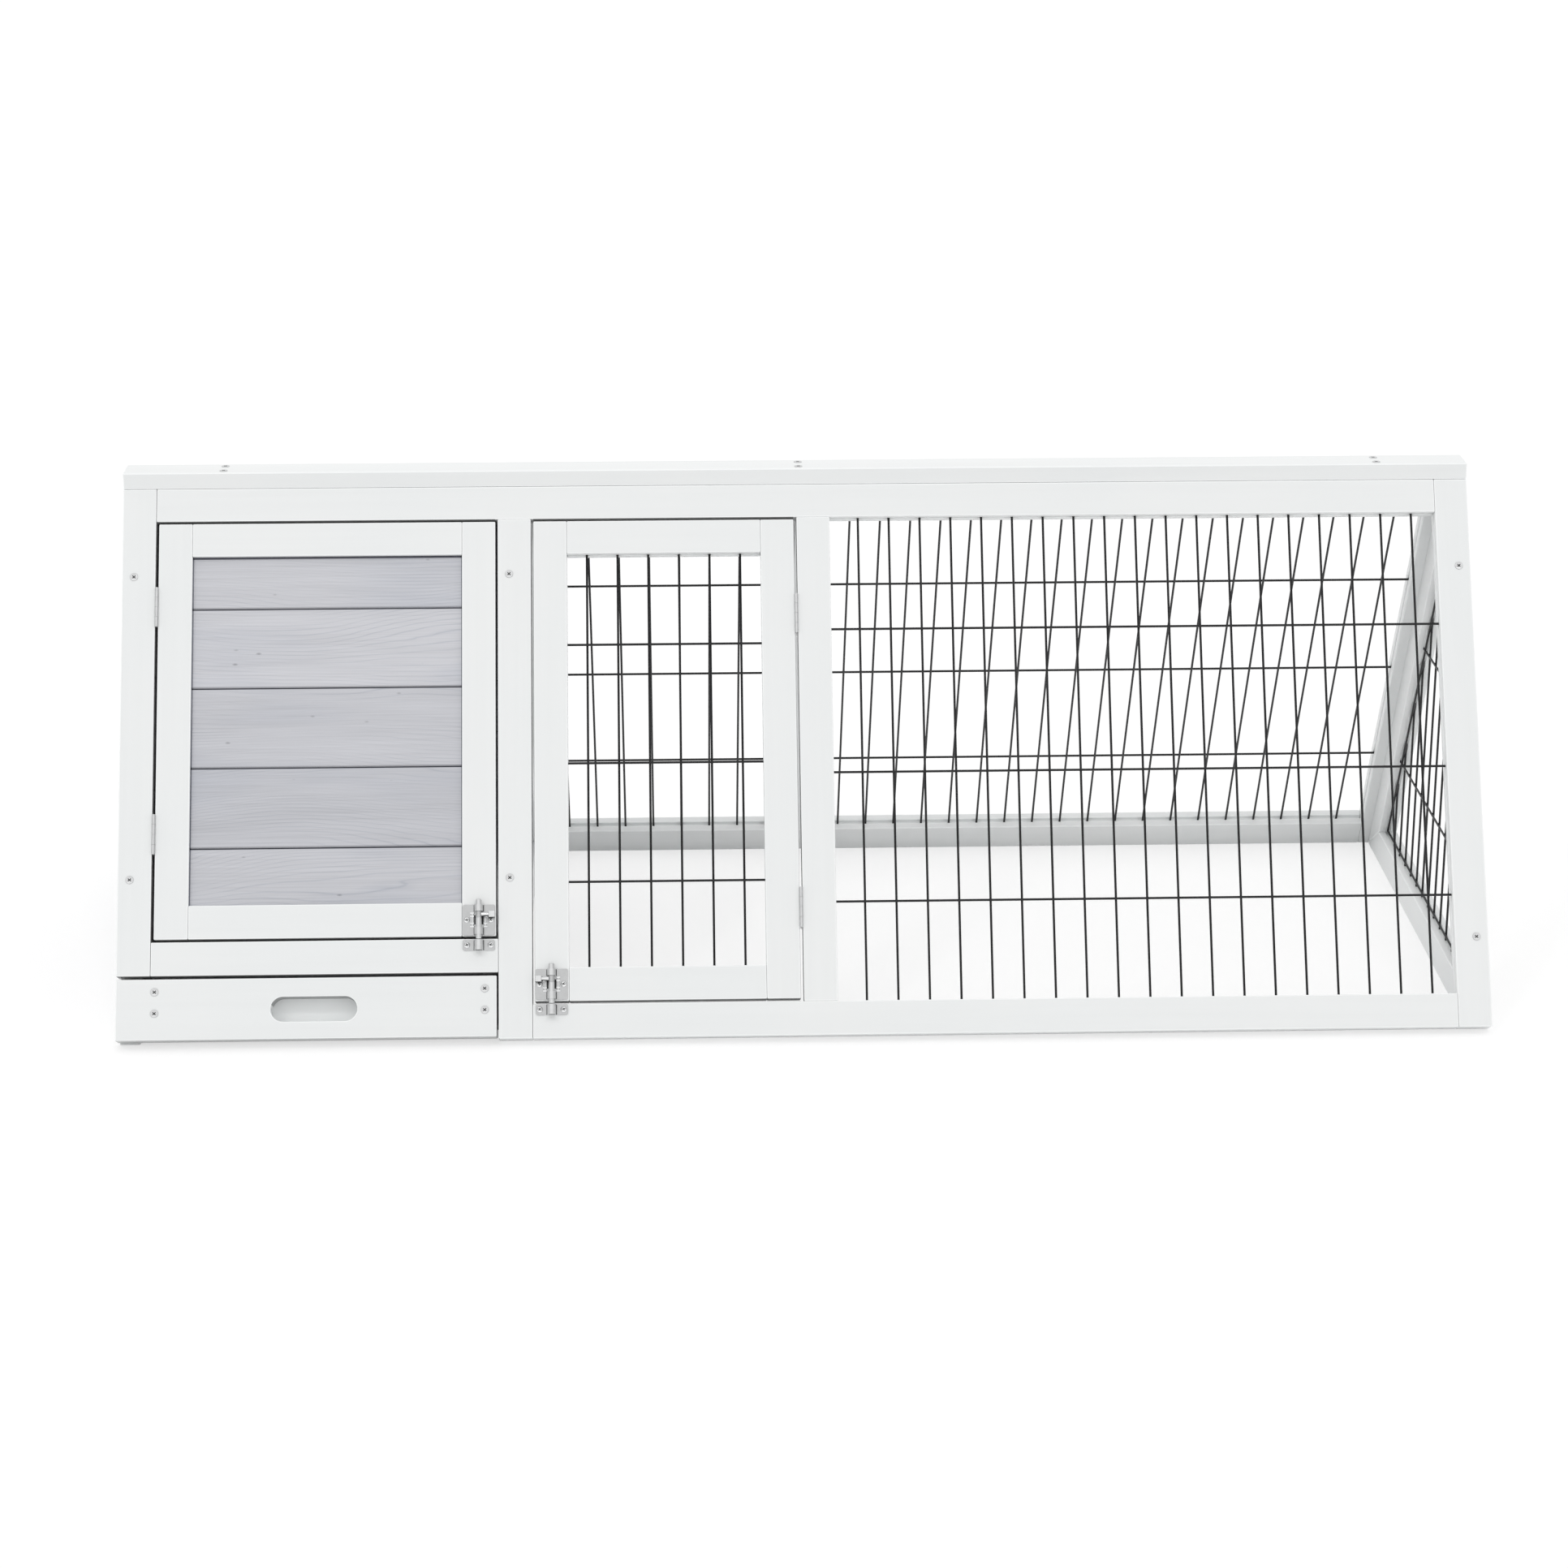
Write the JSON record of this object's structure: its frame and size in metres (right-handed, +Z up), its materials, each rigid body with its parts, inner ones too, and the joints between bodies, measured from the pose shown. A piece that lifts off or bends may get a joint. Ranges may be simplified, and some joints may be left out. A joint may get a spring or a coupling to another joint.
{
  "type": "outdoor rabbit run",
  "caption": "Long A-frame rabbit run in white timber and black welded wire, with an enclosed grey-boarded hut, two hinged doors with slide bolts, and a pull-out tray.",
  "frame": {"origin": "centre of the footprint on the floor", "axes": "+X along the ridge from the hut to the run's far end, -Y towards the side with the doors, +Z up"},
  "size_m": [1.18, 0.5018, 0.4474],
  "materials": {
    "white_paint": "satin white paint on softwood",
    "grey_stain": "pale grey stained softwood with visible grain",
    "black_wire": "black coated welded wire",
    "zinc": "satin zinc plate"
  },
  "bodies": {
    "frame": {"front_left_post": "white_paint", "front_partition_post": "white_paint", "front_run_post": "white_paint", "front_right_post": "white_paint", "front_top_rail": "white_paint", "front_hut_sill": "white_paint", "front_run_sill": "white_paint", "front_run_mesh": "black_wire", "back_left_post": "white_paint", "back_partition_post": "white_paint", "back_run_post": "white_paint", "back_right_post": "white_paint", "back_top_rail": "white_paint", "back_hut_sill": "white_paint", "back_run_sill": "white_paint", "back_hut_boards": "grey_stain", "back_door_mesh": "black_wire", "back_run_mesh": "black_wire", "right_end_legs": "white_paint", "right_end_rail": "white_paint", "right_end_mesh": "black_wire", "left_end_legs": "white_paint", "left_end_rail": "white_paint", "left_end_boards": "grey_stain", "partition_legs": "white_paint", "partition_rail": "white_paint", "partition_boards": "grey_stain", "ridge_board": "white_paint", "ridge_screws": "zinc", "frame_screws": "zinc", "tray_runners": "white_paint", "hut_keeper": "zinc", "run_keeper": "zinc", "keeper_screws": "zinc", "hut_frame_leaves": "zinc", "run_frame_leaves": "zinc"},
    "hut_door": {"hut_door_stiles": "white_paint", "hut_door_rails": "white_paint", "hut_door_boards": "grey_stain", "hut_door_leaves": "zinc", "hut_bolt_plate": "zinc", "hut_bolt_screws": "zinc"},
    "hut_bolt": {"hut_bolt_rod": "zinc"},
    "hut_lever": {"hut_bolt_lever": "zinc"},
    "run_door": {"run_door_stiles": "white_paint", "run_door_rails": "white_paint", "run_door_mesh": "black_wire", "run_door_leaves": "zinc", "run_bolt_plate": "zinc", "run_bolt_screws": "zinc"},
    "run_bolt": {"run_bolt_rod": "zinc"},
    "run_lever": {"run_bolt_lever": "zinc"},
    "tray": {"tray_front": "white_paint", "tray_sides": "white_paint", "tray_back": "white_paint", "tray_inner_wall": "white_paint", "tray_floor": "grey_stain", "tray_screws": "zinc"}
  },
  "joints": [
    {"name": "hut_door_hinge", "type": "hinge", "parent": "frame", "child": "hut_door", "pos_m": [-0.5596, -0.1209, 0.24538], "axis": [0, -0.4848, -0.8746], "range_deg": [0, 150]},
    {"name": "hut_bolt_slide", "type": "slide", "parent": "hut_door", "child": "hut_bolt", "axis": [0, -0.4848, -0.8746], "range_m": [0, 0.0083]},
    {"name": "hut_lever_turn", "type": "hinge", "parent": "hut_bolt", "child": "hut_lever", "pos_m": [-0.2806, -0.20305, 0.10409], "axis": [0, -0.4848, -0.8746], "range_deg": [0, 90]},
    {"name": "run_door_hinge", "type": "hinge", "parent": "frame", "child": "run_door", "pos_m": [-0.0038, -0.13399, 0.22177], "axis": [0, 0.4848, 0.8746], "range_deg": [0, 150]},
    {"name": "run_bolt_slide", "type": "slide", "parent": "run_door", "child": "run_bolt", "axis": [0, -0.4848, -0.8746], "range_m": [0, 0.0083]},
    {"name": "run_lever_turn", "type": "hinge", "parent": "run_bolt", "child": "run_lever", "pos_m": [-0.2185, -0.23029, 0.05494], "axis": [0, 0.4848, 0.8746], "range_deg": [0, 90]},
    {"name": "tray_slide", "type": "slide", "parent": "frame", "child": "tray", "axis": [0, -1, 0], "range_m": [0, 0.35]}
  ]
}
